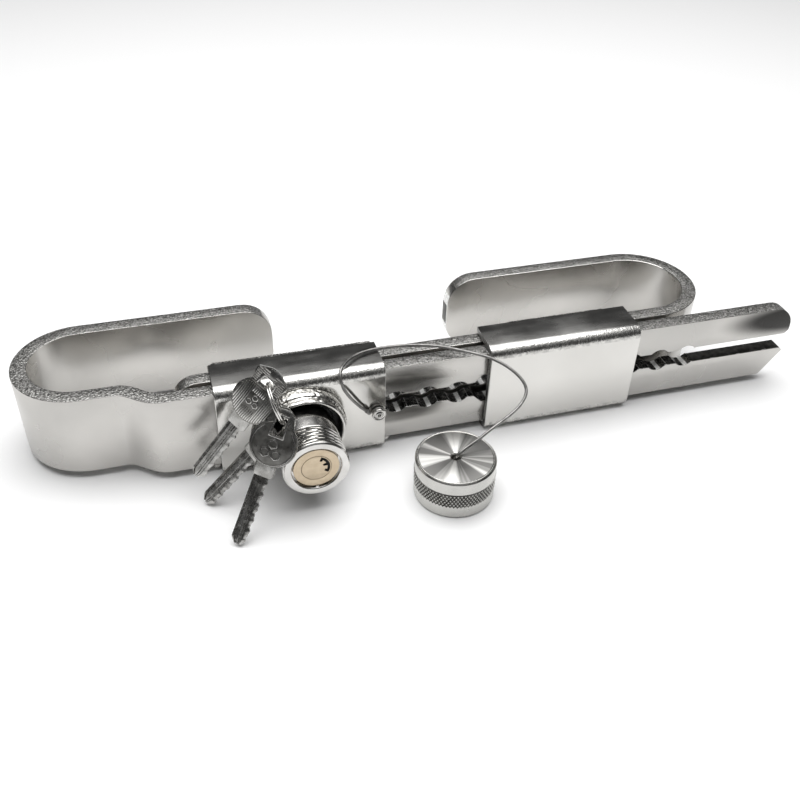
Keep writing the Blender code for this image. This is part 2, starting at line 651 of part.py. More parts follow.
def build_keys(ring_parent, key_parents):
    count = 28
    wire = [ring_point(360 * i / count) * MM for i in range(count)]
    finish(tube("key_ring", wire, RING_WIRE, 2, cyclic=True), "bright_steel", ring_parent)
    for name, (angle, tip, facing, head_r, kind) in KEYS.items():
        bow, ((low, low_half), (high, high_half)) = BOWS[kind]
        hole = ring_point(angle)
        along = (hole - Vector(tip)).normalized()
        normal = Vector(facing)
        normal = (normal - along * normal.dot(along)).normalized()
        side = normal.cross(along)
        turn = Matrix((along, side, normal)).transposed().to_4x4()
        turn = Matrix.Translation(hole * MM) @ turn
        key = plate(name, key_outline(head_r, bow), -KEY_T / 2, KEY_T / 2, turn)
        half = KEY_T / 2 + KEY_RAISE
        head = disc(name + "_head_cutter", head_r - 1.2, -half, half, (0, 0, 0), steps=SMALL_STEPS)
        head.matrix_world = turn @ Matrix.Translation((KEY_HEAD_X * MM, 0, 0))
        boolean(key, head, "UNION")
        slot = [(low, -low_half), (high, -high_half), (high, high_half), (low, low_half)]
        boolean(key, plate(name + "_bow_cutter", slot, -2 * KEY_T, 2 * KEY_T, turn))
        finish(key, "bright_steel", key_parents[name], smooth=30)


# ---------------------------------------------------------------- assembly

def build():
    axis = vec(0, 0, AXIS_Z)
    root = joint_empty("left_arm", Vector((0, 0, 0)))
    arm = joint_empty("right_arm", vec(GUIDE_X0, 0, AXIS_Z), root)
    plunger = joint_empty("plunger", axis, root)
    plug = joint_empty("key_cylinder", axis, plunger)
    latch = joint_empty("latch", vec(0, LATCH_Y, AXIS_Z), plunger)
    cap = joint_empty("cap_swivel", vec(*CAP_AT, 0), root)
    bunch = joint_empty("key_bunch", Vector(RING_AT) * MM, root)
    swings = {name: joint_empty(name + "_swing", ring_point(spec[0]) * MM, bunch)
              for name, spec in KEYS.items()}

    far_left = LAYER + 2 * LEFT_LOOP_R + BAR_T
    far_right = LAYER + 2 * RIGHT_LOOP_R + BAR_T
    hook_bar("left_hook_bar", left_centre(), LEFT_TIP_X, 1, LEFT_END_X, -LAYER, far_left,
             front_slot(), root)
    hook_bar("right_hook_bar", right_centre(), RIGHT_TIP_X, -1, RIGHT_END_X, LAYER, far_right,
             back_slot(), arm)
    build_frame_pieces(root, arm)
    build_lock(root, plunger, plug, latch)
    build_cap(cap, root)
    build_lanyard(root)
    build_keys(bunch, swings)


build()
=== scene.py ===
"""Looks of the adjustable trailer door lock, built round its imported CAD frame.

Positions are in the part's frame: +X along the bars, +Y behind the doors, +Z up. Outlines and profiles
are in millimetres, and meshes in metres.
"""
import json
import math

import bmesh
import bpy
import numpy as np
from mathutils import Matrix, Vector, noise


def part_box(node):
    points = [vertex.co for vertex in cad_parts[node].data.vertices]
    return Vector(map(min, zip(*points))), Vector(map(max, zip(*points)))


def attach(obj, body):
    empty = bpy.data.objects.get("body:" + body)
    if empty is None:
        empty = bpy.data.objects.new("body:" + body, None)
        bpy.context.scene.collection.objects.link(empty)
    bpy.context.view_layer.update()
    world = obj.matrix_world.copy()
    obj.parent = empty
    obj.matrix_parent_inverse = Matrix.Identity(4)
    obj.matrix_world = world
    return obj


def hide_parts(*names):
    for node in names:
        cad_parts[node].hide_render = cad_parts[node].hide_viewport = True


MM = 0.001
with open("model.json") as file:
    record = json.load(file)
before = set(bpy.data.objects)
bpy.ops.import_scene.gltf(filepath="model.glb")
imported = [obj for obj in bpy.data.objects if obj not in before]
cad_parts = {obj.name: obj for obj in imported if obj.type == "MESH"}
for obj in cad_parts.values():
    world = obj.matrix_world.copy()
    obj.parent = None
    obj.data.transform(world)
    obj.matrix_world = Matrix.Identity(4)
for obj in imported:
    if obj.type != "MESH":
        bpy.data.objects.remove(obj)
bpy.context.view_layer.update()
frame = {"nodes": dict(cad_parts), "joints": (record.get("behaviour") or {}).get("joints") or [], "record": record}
NODES = frame["nodes"]
BODY_OF = {node: body for body, nodes in frame["record"]["behaviour"]["bodies"].items() for node in nodes}
JOINTS = {joint["name"]: joint for joint in frame["joints"]}


# ---------------------------------------------------------------- camera, light and floor

CAMERA_AT = (-0.0672, -0.4144, 0.3679)
CAMERA_RIGHT = (0.9605, -0.2772, 0.0263)
CAMERA_UP = (0.1531, 0.6049, 0.7814)
CAMERA_LENS = 42.08
LIGHT_AT, LIGHT_AIM = (0.1, 0.2, 1.2), (0.08, 0, 0)
LIGHT_SIZE, LIGHT_POWER = (1.6, 1.1), 19
DOME_LEVELS = ((0.0, 0.10), (0.30, 0.05), (0.60, 0.08), (0.74, 0.42), (0.785, 0.40), (0.81, 0.17),
               (0.845, 0.30), (0.88, 1.0), (1.0, 1.0))    # height on the dome from 0 to 1, brightness
DOME_STRENGTH = 1.15
FLOOR_HALF, FLOOR_DROP = 3.0, 0.2 * MM
FLOOR_GREY = 0.90


def build_camera():
    right = Vector(CAMERA_RIGHT).normalized()
    back = right.cross(Vector(CAMERA_UP)).normalized()
    up = back.cross(right)
    data = bpy.data.cameras.new("camera")
    data.lens = CAMERA_LENS
    camera = bpy.data.objects.new("camera", data)
    turn = Matrix((right, up, back)).transposed().to_4x4()
    camera.matrix_world = Matrix.Translation(CAMERA_AT) @ turn
    bpy.context.scene.collection.objects.link(camera)
    bpy.context.scene.camera = camera


def build_light():
    """One wide soft light, overhead and a little behind."""
    data = bpy.data.lights.new("overhead", "AREA")
    data.shape = "RECTANGLE"
    data.size, data.size_y = LIGHT_SIZE
    data.energy = LIGHT_POWER
    light = bpy.data.objects.new("overhead", data)
    aim = (Vector(LIGHT_AIM) - Vector(LIGHT_AT)).to_track_quat("-Z", "Y")
    light.matrix_world = Matrix.Translation(LIGHT_AT) @ aim.to_matrix().to_4x4()
    bpy.context.scene.collection.objects.link(light)


def build_world():
    """A studio dome: dark round the horizon, bright overhead."""
    world = bpy.data.worlds.new("studio")
    world.use_nodes = True
    tree = world.node_tree
    _, _, height = axes(tree, tree.nodes.new("ShaderNodeTexCoord").outputs["Generated"])
    background = tree.nodes["Background"]
    tree.links.new(grey_ramp(tree, height, DOME_LEVELS), background.inputs["Color"])
    background.inputs["Strength"].default_value = DOME_STRENGTH
    bpy.context.scene.world = world
    bpy.context.scene.view_settings.view_transform = "Standard"


def build_floor():
    mesh = bpy.data.meshes.new("floor")
    corners = [(-FLOOR_HALF, -FLOOR_HALF, 0), (FLOOR_HALF, -FLOOR_HALF, 0),
               (FLOOR_HALF, FLOOR_HALF, 0), (-FLOOR_HALF, FLOOR_HALF, 0)]
    mesh.from_pydata(corners, [], [(0, 1, 2, 3)])
    floor = bpy.data.objects.new("floor", mesh)
    floor.location.z = -FLOOR_DROP
    bpy.context.scene.collection.objects.link(floor)
    mat, _ = plain_material("floor_paint", (FLOOR_GREY, FLOOR_GREY, FLOOR_GREY), 0.6, metallic=0.0)
    mesh.materials.append(mat)


# ---------------------------------------------------------------- materials

MATERIALS = {}


def plain_material(name, colour, roughness, metallic=1.0):
    """A new material, kept in MATERIALS under its name."""
    mat = MATERIALS[name] = bpy.data.materials.new(name)
    mat.use_nodes = True
    shader = mat.node_tree.nodes["Principled BSDF"]
    shader.inputs["Base Color"].default_value = (*colour, 1.0)
    shader.inputs["Roughness"].default_value = roughness
    shader.inputs["Metallic"].default_value = metallic
    return mat, shader


def object_coords(tree):
    return tree.nodes.new("ShaderNodeTexCoord").outputs["Object"]


def feed(tree, socket, value):
    """Link another node's output to a socket, or set the socket to a constant."""
    if isinstance(value, bpy.types.NodeSocket):
        tree.links.new(value, socket)
    else:
        socket.default_value = value


def mapped(tree, coords, location=(0, 0, 0), scale=(1, 1, 1)):
    mapping = tree.nodes.new("ShaderNodeMapping")
    mapping.inputs["Location"].default_value = location
    mapping.inputs["Scale"].default_value = scale
    tree.links.new(coords, mapping.inputs["Vector"])
    return mapping.outputs["Vector"]


def axes(tree, vector):
    split = tree.nodes.new("ShaderNodeSeparateXYZ")
    tree.links.new(vector, split.inputs[0])
    return split.outputs["X"], split.outputs["Y"], split.outputs["Z"]


def calculate(tree, operation, *values):
    node = tree.nodes.new("ShaderNodeMath")
    node.operation = operation
    for socket, value in zip(node.inputs, values):
        feed(tree, socket, value)
    return node.outputs[0]


def grey_ramp(tree, value, levels):
    """Grey levels along a value from 0 to 1, as (place, level) in order."""
    ramp = tree.nodes.new("ShaderNodeValToRGB")
    elements = ramp.color_ramp.elements
    elements[0].position, elements[1].position = levels[0][0], levels[-1][0]
    for place, _ in levels[1:-1]:
        elements.new(place)
    for element, (_, level) in zip(elements, levels):
        element.color = (level, level, level, 1.0)
    tree.links.new(value, ramp.inputs[0])
    return ramp.outputs[0]


def add_noise(tree, coords, scale, detail=4.0, stretch=(1, 1, 1)):
    texture = tree.nodes.new("ShaderNodeTexNoise")
    texture.inputs["Scale"].default_value = scale
    texture.inputs["Detail"].default_value = detail
    tree.links.new(mapped(tree, coords, scale=stretch), texture.inputs["Vector"])
    return texture.outputs["Fac"]


def remap(tree, value, low, high, start=0.3, stop=0.7):
    node = tree.nodes.new("ShaderNodeMapRange")
    node.interpolation_type = "SMOOTHSTEP"
    node.inputs["From Min"].default_value = start
    node.inputs["From Max"].default_value = stop
    node.inputs["To Min"].default_value = low
    node.inputs["To Max"].default_value = high
    tree.links.new(value, node.inputs["Value"])
    return node.outputs["Result"]


def mix_colours(tree, factor, first, second, mode="MIX"):
    mix = tree.nodes.new("ShaderNodeMix")
    mix.data_type, mix.blend_type = "RGBA", mode
    for name, value in (("Factor", factor), ("A", first), ("B", second)):
        feed(tree, mix.inputs[name], value)
    return mix.outputs["Result"]


def add_bump(tree, height, strength, distance):
    bump = tree.nodes.new("ShaderNodeBump")
    bump.inputs["Strength"].default_value = strength
    bump.inputs["Distance"].default_value = distance
    tree.links.new(height, bump.inputs["Height"])
    return bump


GRAIN_DEPTH, WAVE_DEPTH = 0.3 * MM, 2 * MM
GLOSS_RATE = 1.7                 # how much finer the patches of gloss are than the clouds of colour


def metal(name, light, dark, rough, cloud=40.0, grain=900.0, wave=0.0, wave_scale=60.0,
          bump=0.05, stretch=(1, 1, 1)):
    """Plated or bare metal: cloudy colour, uneven gloss, fine grain and an optional slow wave."""
    mat, shader = plain_material(name, light, rough[0])
    tree = mat.node_tree
    coords = object_coords(tree)
    clouds = remap(tree, add_noise(tree, coords, cloud), 0.0, 1.0)
    gloss = remap(tree, add_noise(tree, coords, cloud * GLOSS_RATE, 2.0, stretch), *rough)
    fine = add_bump(tree, add_noise(tree, coords, grain, 3.0, stretch), bump, GRAIN_DEPTH)
    if wave:
        slow = add_bump(tree, add_noise(tree, coords, wave_scale, 0.0), wave, WAVE_DEPTH)
        tree.links.new(slow.outputs["Normal"], fine.inputs["Normal"])
    tree.links.new(mix_colours(tree, clouds, (*light, 1.0), (*dark, 1.0)), shader.inputs["Base Color"])
    tree.links.new(gloss, shader.inputs["Roughness"])
    tree.links.new(fine.outputs["Normal"], shader.inputs["Normal"])
    return mat


# fans of painted highlight and painted shade on the turned face
PAINTED_FAN_SCALE, PAINTED_FAN_RANGE = 1.2, (2.0, -0.3)
RING_SCALE, RING_BUMP, RING_DEPTH = 700.0, 0.12, 0.2 * MM


def turned_face(name, centre, light, dark):
    """A lathe-turned end face: fine rings, and fans of painted highlight and painted shade running out from the
    centre.
    """
    mat, shader = plain_material(name, light, 0.3)
    shader.inputs["Anisotropic"].default_value = 0.75
    tree = mat.node_tree
    place = mapped(tree, object_coords(tree), location=(-centre[0], -centre[1], 0))
    x, y, _ = axes(tree, place)
    turn = tree.nodes.new("ShaderNodeCombineXYZ")
    tree.links.new(calculate(tree, "ARCTAN2", y, x), turn.inputs["X"])
    painted_fans = remap(tree, add_noise(tree, turn.outputs["Vector"], PAINTED_FAN_SCALE, 3.0), *PAINTED_FAN_RANGE)
    tree.links.new(mix_colours(tree, painted_fans, (*light, 1.0), (*dark, 1.0)), shader.inputs["Base Color"])
    rings = tree.nodes.new("ShaderNodeTexWave")
    rings.wave_type, rings.rings_direction = "RINGS", "Z"
    rings.inputs["Scale"].default_value = RING_SCALE
    tree.links.new(place, rings.inputs["Vector"])
    bump = add_bump(tree, rings.outputs["Fac"], RING_BUMP, RING_DEPTH)
    tree.links.new(bump.outputs["Normal"], shader.inputs["Normal"])
    tangent = tree.nodes.new("ShaderNodeTangent")
    tangent.direction_type, tangent.axis = "RADIAL", "Z"
    tree.links.new(tangent.outputs[0], shader.inputs["Tangent"])
    return mat


PAINTED_REFLECTION_CORE = 0.45               # share of a painted dark reflection's reach that is at its full shade


def add_painted_reflection(mat, centre, reach, shade):
    """Paint a dark reflection: darken the colour softly inside an ellipsoid, its centre and half axes in
    millimetres.
    """
    tree = mat.node_tree
    place = mapped(tree, object_coords(tree), location=[-c / r for c, r in zip(centre, reach)],
                   scale=[1 / (r * MM) for r in reach])
    away = tree.nodes.new("ShaderNodeVectorMath")
    away.operation = "LENGTH"
    tree.links.new(place, away.inputs[0])
    fade = remap(tree, away.outputs["Value"], shade, 1.0, PAINTED_REFLECTION_CORE, 1.0)
    colour = tree.nodes["Principled BSDF"].inputs["Base Color"]
    tree.links.new(mix_colours(tree, 1.0, colour.links[0].from_socket, fade, "MULTIPLY"), colour)


LOBE_PITCH = 18.8 * MM
PAINTED_HIGHLIGHT_BANDS = ((0.0, 0.0), (0.02, 1.0), (0.14, 1.0), (0.165, 0.0), (0.345, 0.0), (0.36, 0.7), (0.385, 0.0),
              (0.735, 0.0), (0.75, 0.8), (0.775, 0.0), (1.0, 0.0))    # painted highlight bands: place within one lobe, brightness


def painted_light_wall(name, light, dark, band):
    """Slot wall in dark painted shade, with bright painted highlight bands across it, repeating along X with the
    lobes.
    """
    mat = metal(name, light, dark, (0.2, 0.35), cloud=420, grain=1400, bump=0.35)
    tree = mat.node_tree
    shader = tree.nodes["Principled BSDF"]
    x, _, _ = axes(tree, object_coords(tree))
    # painted highlight bands, repeating with the lobes
    within = calculate(tree, "FRACT", calculate(tree, "DIVIDE", x, LOBE_PITCH))
    bands = grey_ramp(tree, within, PAINTED_HIGHLIGHT_BANDS)
    colour = shader.inputs["Base Color"]
    tree.links.new(mix_colours(tree, bands, colour.links[0].from_socket, (*band, 1.0)), colour)
    tree.links.new(remap(tree, bands, 1.0, 0.1, 0.0, 1.0), shader.inputs["Metallic"])
    return mat


PAINTED_REFLECTIONS = (                      # painted dark reflections on the bars' front faces: centre, reach, shade
    ((60, -10, 41), (34, 12, 9), 0.34),
    ((57, -10, 20), (32, 12, 7), 0.5),
    ((-38, -10, 30), (10, 14, 24), 0.32),
    ((318, -10, 47), (58, 14, 14), 0.08))
UPRIGHT, LENGTHWISE = (1, 1, 0.12), (0.25, 1, 1)    # grains drawn out along Z, and along X


def build_materials():
    low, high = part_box("dust_cap")
    metal("plated_bar", (0.60, 0.585, 0.56), (0.50, 0.49, 0.47), (0.24, 0.32),
          cloud=14, grain=500, bump=0.04, wave=0.06, wave_scale=22)
    metal("sheared_edge", (0.40, 0.395, 0.38), (0.08, 0.078, 0.074), (0.30, 0.46),
          cloud=900, grain=2200, bump=0.5, wave=0.35, wave_scale=1100)
    # slot walls: dark painted shade with bright painted highlight bands
    painted_light_wall("slot_wall_painted_light", (0.16, 0.158, 0.15), (0.02, 0.02, 0.02), (0.95, 0.95, 0.93))
    metal("plated_plate", (0.68, 0.67, 0.645), (0.62, 0.61, 0.585), (0.14, 0.22),
          cloud=18, grain=700, bump=0.03, wave=0.05, wave_scale=26)
    metal("plated_bend", (0.74, 0.73, 0.70), (0.46, 0.455, 0.44), (0.14, 0.30),
          cloud=420, grain=1500, bump=0.55, stretch=UPRIGHT)
    # a darker copy of the plate finish for tops: painted shade
    metal("plated_top_painted_shade", (0.46, 0.455, 0.44), (0.30, 0.295, 0.285), (0.20, 0.32),
          cloud=60, grain=900, bump=0.1, stretch=LENGTHWISE)
    metal("weld", (0.74, 0.73, 0.70), (0.40, 0.39, 0.37), (0.14, 0.35),
          cloud=240, bump=0.3, wave=0.3, wave_scale=500)
    metal("bright_steel", (0.70, 0.69, 0.67), (0.58, 0.57, 0.55), (0.10, 0.20),
          cloud=90, grain=1200, bump=0.06)
    metal("turned", (0.58, 0.575, 0.55), (0.50, 0.495, 0.475), (0.20, 0.30), cloud=60, bump=0.08)
    turned_face("turned_face", (low + high) / 2, (0.86, 0.85, 0.82), (0.19, 0.187, 0.18))
    # painted shade: a near black finish for knurl grooves, thread roots and the slot's straight end
    metal("painted_groove_shade", (0.12, 0.118, 0.11), (0.05, 0.05, 0.045), (0.35, 0.5), cloud=300)
    metal("dull_key", (0.30, 0.295, 0.28), (0.17, 0.165, 0.155), (0.26, 0.42), cloud=160, bump=0.15)
    metal("key_blade", (0.52, 0.515, 0.50), (0.30, 0.295, 0.28), (0.16, 0.30), cloud=200, bump=0.1)
    metal("brass", (0.60, 0.50, 0.37), (0.54, 0.445, 0.32), (0.30, 0.42), cloud=260, bump=0.10)
    metal("dark_steel", (0.05, 0.05, 0.05), (0.02, 0.02, 0.02), (0.35, 0.55), cloud=150)
    metal("cable", (0.30, 0.295, 0.285), (0.19, 0.185, 0.18), (0.30, 0.45), cloud=300, grain=2500)
    # painted shade: near black and not metallic, for the keyway, the disc behind it and the collar's bore
    metal("rubber", (0.025, 0.025, 0.025), (0.015, 0.015, 0.015), (0.7, 0.9), cloud=300, bump=0.2)
    # painted dark reflections of nearby parts on the bars' front faces
    for centre, reach, shade in PAINTED_REFLECTIONS:
        add_painted_reflection(MATERIALS["plated_bar"], centre, reach, shade)
    MATERIALS["rubber"].node_tree.nodes["Principled BSDF"].inputs["Metallic"].default_value = 0.0


# ---------------------------------------------------------------- mesh helpers

def add_piece(name, mesh, slot, body, replaces=(), edge_angle=35, extra=()):
    """Link a mesh as a finished piece: material, smooth shading, body and the CAD nodes it replaces."""
    piece = bpy.data.objects.new(name, mesh)
    bpy.context.scene.collection.objects.link(piece)
    mesh.materials.clear()
    for material in (slot, *extra):
        mesh.materials.append(MATERIALS[material])
    mesh.shade_smooth()
    mesh.set_sharp_from_angle(angle=math.radians(edge_angle))
    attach(piece, body)
    if replaces:
        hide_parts(*replaces)
    return piece


def paint(mesh, finishes, choose):
    """Give each face the finish that choose(face) names; the first of the finishes is the plain one."""
    for face in mesh.polygons:
        face.material_index = finishes.index(choose(face) or finishes[0])


MERGE = 1e-6                     # points closer than this are one


def tidy(mesh):
    work = bmesh.new()
    work.from_mesh(mesh)
    bmesh.ops.remove_doubles(work, verts=work.verts, dist=MERGE)
    bmesh.ops.recalc_face_normals(work, faces=work.faces)
    work.to_mesh(mesh)
    work.free()
    return mesh


def skin(name, rows, ends=True):
    """A mesh of quads between successive closed rows of points; ends caps the two outer rows."""
    count = len(rows[0])
    faces = []
    for r in range(len(rows) - 1):
        for c in range(count):
            d = (c + 1) % count
            faces.append((r * count + c, r * count + d, (r + 1) * count + d, (r + 1) * count + c))
    if ends:
        last = (len(rows) - 1) * count
        faces += [tuple(reversed(range(count))), tuple(last + c for c in range(count))]
    mesh = bpy.data.meshes.new(name)
    mesh.from_pydata([point for row in rows for point in row], [], faces)
    return tidy(mesh)


CORNER_SHARE = 0.45              # most of a side that the curve at one of its ends may take


def soften(points, radius, steps=3, closed=False):
    """Round the corners of a line of 2D points with short curves."""
    result = []
    for i, point in enumerate(points):
        if not closed and i in (0, len(points) - 1):
            result.append(tuple(point))
            continue
        corner = Vector(point)
        before = Vector(points[i - 1]) - corner
        after = Vector(points[(i + 1) % len(points)]) - corner
        start = corner + before.normalized() * min(radius, before.length * CORNER_SHARE)
        stop = corner + after.normalized() * min(radius, after.length * CORNER_SHARE)
        for j in range(steps + 1):
            t = j / steps
            result.append(tuple((1 - t) ** 2 * start + 2 * t * (1 - t) * corner + t * t * stop))
    return result


def lathe(name, profile, centre, axis, steps=96, shape=None):
    """Turn (radius, height) points, in metres, about an axis.

    shape(angle, radius, height) may change a radius. A profile that ends where it starts makes a closed ring.
    """
    side = Vector((1, 0, 0)) if axis.y else axis.orthogonal().normalized()
    cross = axis.cross(side)
    rows = []
    for radius, height in profile:
        middle = centre + axis * height
        row = []
        for i in range(steps):
            angle = 2 * math.pi * i / steps
            r = shape(angle, radius, height) if shape else radius
            row.append(middle + side * (r * math.cos(angle)) + cross * (r * math.sin(angle)))
        rows.append(row)
    return skin(name, rows, ends=math.dist(profile[0], profile[-1]) > MERGE)


FLAT_ANGLE, SHARP_ANGLE = math.radians(0.5), math.radians(40)


def refine(node, name, slot, bevel, segments=2, extra=()):
    """A detailed copy of a CAD node: its flat faces joined up and its sharp edges rounded."""
    mesh = NODES[node].data.copy()
    mesh.name = name
    work = bmesh.new()
    work.from_mesh(mesh)
    bmesh.ops.remove_doubles(work, verts=work.verts, dist=MERGE)
    bmesh.ops.dissolve_limit(work, angle_limit=FLAT_ANGLE, verts=work.verts, edges=work.edges)
    bmesh.ops.recalc_face_normals(work, faces=work.faces)
    sharp = [edge for edge in work.edges if edge.is_manifold and edge.calc_face_angle() > SHARP_ANGLE]
    bmesh.ops.bevel(work, geom=sharp, offset=bevel * MM, segments=segments, profile=0.5, affect="EDGES",
                    clamp_overlap=True)
    work.to_mesh(mesh)
    work.free()
    return add_piece(name, mesh, slot, BODY_OF[node], (node,), extra=extra)


def slab(name, outlines, thickness, bevel, place):
    """A plate from 2D outlines in millimetres, with its holes among them and its edges rounded."""
    curve = bpy.data.curves.new(name, "CURVE")
    curve.dimensions = "2D"
    curve.fill_mode = "BOTH"
    curve.bevel_depth = bevel * MM
    curve.bevel_resolution = 1
    curve.offset = -bevel * MM
    curve.extrude = (thickness / 2 - bevel) * MM
    for outline in outlines:
        spline = curve.splines.new("POLY")
        spline.points.add(len(outline) - 1)
        for point, (u, v) in zip(spline.points, outline):
            point.co = (u * MM, v * MM, 0.0, 1.0)
        spline.use_cyclic_u = True
    flat = bpy.data.objects.new(name, curve)
    bpy.context.scene.collection.objects.link(flat)
    bpy.context.view_layer.update()
    mesh = bpy.data.meshes.new_from_object(flat.evaluated_get(bpy.context.evaluated_depsgraph_get()))
    mesh.name = name
    bpy.data.objects.remove(flat, do_unlink=True)
    mesh.transform(place)
    return tidy(mesh)


def circle(radius, steps=96, cx=0.0, cy=0.0):
    turns = [2 * math.pi * i / steps for i in range(steps)]
    return [(cx + radius * math.cos(a), cy + radius * math.sin(a)) for a in turns]


def arc(cx, cy, radius, start, stop, steps):
    angles = [math.radians(start + (stop - start) * i / steps) for i in range(steps + 1)]
    return [(cx + radius * math.cos(a), cy + radius * math.sin(a)) for a in angles]


def strip(x_low, x_high, y, half):
    return [(x_low, y - half), (x_high, y - half), (x_high, y + half), (x_low, y + half)]


# ---------------------------------------------------------------- lanyard cable

CABLE_D = 1.8 * MM
CABLE_ROUTE = [Vector(point) * MM for point in (
    (36.4, -18.0, 33.1), (33.4, -18.8, 36.5), (27.4, -20.2, 45.0), (23.7, -20.9, 51.8),
    (22.2, -20.7, 55.9), (21.6, -19.3, 59.6), (22.3, -16.3, 61.9), (24.6, -12.6, 62.6),
    (28.0, -8.4, 62.4), (32.4, -4.4, 61.9), (38.6, -1.0, 61.4), (47.3, 1.1, 60.9),
    (59.2, 1.6, 60.4), (71.6, 0.4, 59.8), (83.3, -3.3, 59.4), (92.5, -8.8, 59.3),
    (100.2, -14.6, 59.5), (106.4, -18.6, 58.9), (111.1, -21.6, 57.5), (115.1, -24.8, 56.0),
    (118.5, -28.2, 54.2), (121.4, -31.6, 52.0), (123.3, -35.0, 49.8), (123.9, -38.2, 47.3),
    (122.6, -41.2, 45.0), (119.7, -44.0, 43.0), (115.7, -46.6, 41.2), (110.9, -48.9, 39.5),
    (105.8, -50.9, 37.9), (100.5, -52.7, 36.1), (95.7, -54.3, 34.3), (91.3, -55.6, 32.2),
    (86.6, -56.5, 30.0), (82.2, -57.5, 28.1), (79.0, -58.4, 26.3), (77.4, -58.8, 23.8),
    (76.8, -58.9, 20.6))]
ROUTE_STEP = 0.7 * MM
ROUTE_SAMPLES = 24               # points worked out between two of the route's own
STRANDS = 6
LAY_LENGTH = 11 * MM             # one full twist of the strands
GROOVE_SHARE, GROOVE_POWER = 0.16, 0.6    # depth of the grooves between strands, and their shape


def smooth_route(points, step):
    """Evenly spaced points on a Catmull-Rom curve through the given points."""
    ends = [points[0]] + list(points) + [points[-1]]
    dense = []
    for i in range(len(points) - 1):
        a, b, c, d = ends[i:i + 4]
        for j in range(ROUTE_SAMPLES):
            t = j / ROUTE_SAMPLES
            dense.append(0.5 * (2 * b + (c - a) * t + (2 * a - 5 * b + 4 * c - d) * t * t
                                + (3 * b - a - 3 * c + d) * t ** 3))
    dense.append(points[-1])
    route, travelled = [dense[0]], 0.0
    for previous, current in zip(dense, dense[1:]):
        travelled += (current - previous).length
        if travelled >= step:
            route.append(current)
            travelled = 0.0
    route[-1] = dense[-1]
    return route


def build_cable():
    """Twisted strands swept along the cable's route."""
    route = smooth_route(CABLE_ROUTE, ROUTE_STEP)
    side = Vector((0, 0, 1))
    travelled = 0.0
    rows = []
    around = 4 * STRANDS
    for i, point in enumerate(route):
        ahead = (route[min(i + 1, len(route) - 1)] - route[max(i - 1, 0)]).normalized()
        side = (side - ahead * side.dot(ahead)).normalized()
        cross = ahead.cross(side)
        travelled += (point - route[i - 1]).length if i else 0.0
        twist = 2 * math.pi * travelled / LAY_LENGTH
        row = []
        for j in range(around):
            angle = 2 * math.pi * j / around
            groove = abs(math.sin(STRANDS / 2 * (angle - twist)))
            radius = CABLE_D / 2 * (1 - GROOVE_SHARE + GROOVE_SHARE * groove ** GROOVE_POWER)
            row.append(point + radius * (math.cos(angle) * side + math.sin(angle) * cross))
        rows.append(row)
    cable = add_piece("wire_lanyard", skin("wire_lanyard", rows), "cable", "left_arm", ("lanyard_cable",), 80)


# ---------------------------------------------------------------- bars, channels and welds

SLOT_REACH = 14 * MM             # walls this near the bars' centre line belong to the slots
LOOP_MARGIN = 80 * MM            # length of a bar's hook, clear of its slot
END_MARGIN = 4 * MM
STRAIGHT_AREA = 100 * MM * MM    # larger slot walls than this are the straight end, past the lobes
BAR_FINISHES = ("plated_bar", "sheared_edge", "slot_wall_painted_light", "painted_groove_shade", "plated_plate")


def build_bar(node, name, slot_low, slot_high):
    """A hook bar: rough sheared edges, a lighter front corner that is partly a painted highlight, and slot walls
    in painted shade with painted highlight bands.
    """
    def finish(face):
        x, _, z = face.center
        in_slot = slot_low < x < slot_high and abs(z - LOCK_CENTRE.z) < SLOT_REACH
        if in_slot and abs(face.normal.y) < 0.5:
            # the slot's straight end walls take painted shade
            return "painted_groove_shade" if face.area > STRAIGHT_AREA else "slot_wall_painted_light"
        # the front top corner takes the lighter, glossier plate finish; its lighter colour is partly a painted
        # highlight line
        if face.normal.z > 0.3 and face.normal.y < -0.3:
            return "plated_plate"
        return "sheared_edge" if abs(face.normal.z) > 0.7 else None

    bar = refine(node, name, "plated_bar", 0.7, 3, BAR_FINISHES[1:])
    paint(bar.data, BAR_FINISHES, finish)


def build_bars():
    low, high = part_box("left_hook_bar")
    build_bar("left_hook_bar", "hook_bar_left", low.x + LOOP_MARGIN, high.x - END_MARGIN)
    low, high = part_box("right_hook_bar")
    build_bar("right_hook_bar", "hook_bar_right", low.x + END_MARGIN, high.x - LOOP_MARGIN)


CHANNEL_FINISHES = ("plated_plate", "plated_bend", "plated_top_painted_shade", "sheared_edge")


def channel_finish(face):
    """Sheared ends, grainy outer bends, and a top darkened with painted shade."""
    x, y, z = face.normal
    if abs(x) > 0.9:
        return "sheared_edge"
    # tops get the darker copy: painted shade
    if z > 0.96:
        return "plated_top_painted_shade"
    return "plated_bend" if y < 0 and abs(z) > 0.12 else None


def build_channels():
    for node, name in (("housing_channel", "channel_housing"), ("guide_channel", "channel_guide")):
        channel = refine(node, name, "plated_plate", 0.45, 3, CHANNEL_FINISHES[1:])
        paint(channel.data, CHANNEL_FINISHES, channel_finish)
    refine("housing_back_plate", "plate_back", "plated_plate", 0.6, 3)
    for node in ("bar_weld_left", "bar_weld_right"):
        refine(node, node.replace("bar_weld", "weld_bar"), "weld", 0.9, 3)


BEAD_STEP = 0.35 * MM
BEAD_ROUND = 14                  # steps round a bead's section
BEAD_TIP, BEAD_END = 0.4 * MM, 2.4 * MM    # a bead's ends round off from a small tip over this length
RIPPLE = 1.7 * MM                # spacing of the ripples along a bead
RIPPLE_LAG = 0.3                 # how far the ripples bow, in ripples
BEAD_SWELL, RIPPLE_SWELL, LUMP_SWELL = 0.86, 0.09, 0.06
LUMP_SCALE = (260, 0.8, 100)     # along the bead, round it, and from one bead to the next


